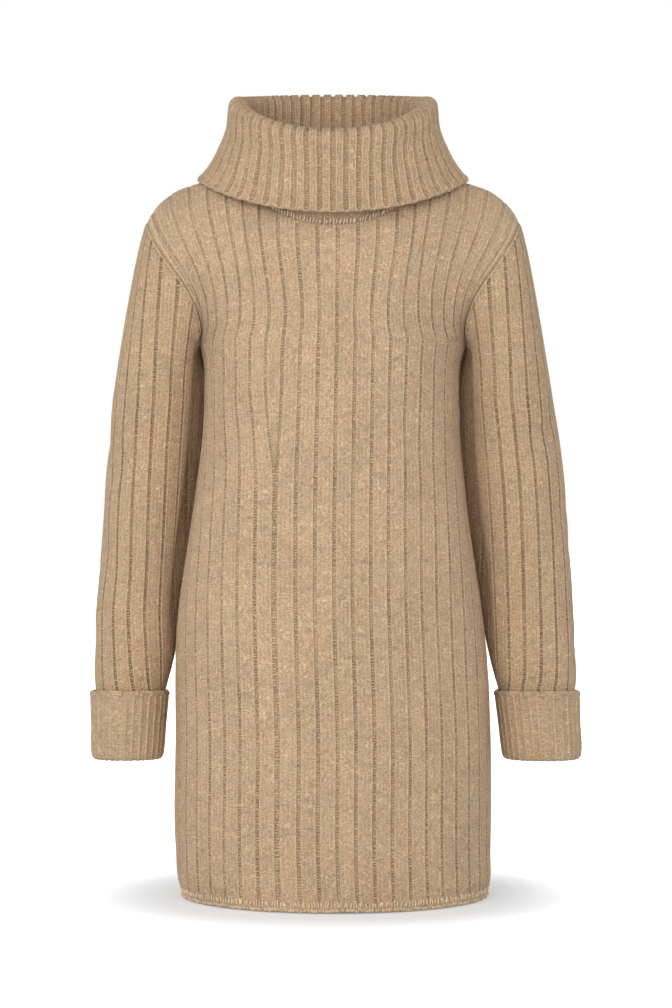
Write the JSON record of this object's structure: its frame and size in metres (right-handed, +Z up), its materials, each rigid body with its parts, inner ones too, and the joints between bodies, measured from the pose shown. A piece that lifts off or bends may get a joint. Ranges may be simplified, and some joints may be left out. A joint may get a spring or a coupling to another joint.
{
  "type": "cowl neck sweater",
  "caption": "Long rib-knit tunic sweater with a folded cowl collar, set-in long sleeves and turned-back cuffs, filled out as if worn, hollow and open at neck, hem and cuffs.",
  "frame": {"origin": "middle of the neck, level with the points where the shoulder seams meet the collar, where the wearer's neck and shoulders hold the garment", "axes": "+Z up the wearer, +X to the wearer's left, the front faces -Y"},
  "size_m": [0.5455, 0.238, 0.9007],
  "materials": {
    "body_rib": "camel melange wool in wide rib, matt and slightly fuzzy",
    "sleeve_rib": "camel melange wool in wide rib, matt and slightly fuzzy",
    "cuff_rib": "camel melange wool, the reverse of the rib, matt and slightly fuzzy",
    "collar_rib": "camel melange wool in narrow rib, matt and slightly fuzzy"
  },
  "bodies": {
    "root": {"front_panel": "body_rib", "back_panel": "body_rib", "sleeve_left": "sleeve_rib", "sleeve_right": "sleeve_rib", "cuff_left": "cuff_rib", "cuff_right": "cuff_rib", "cowl_collar": "collar_rib"}
  },
  "joints": []
}
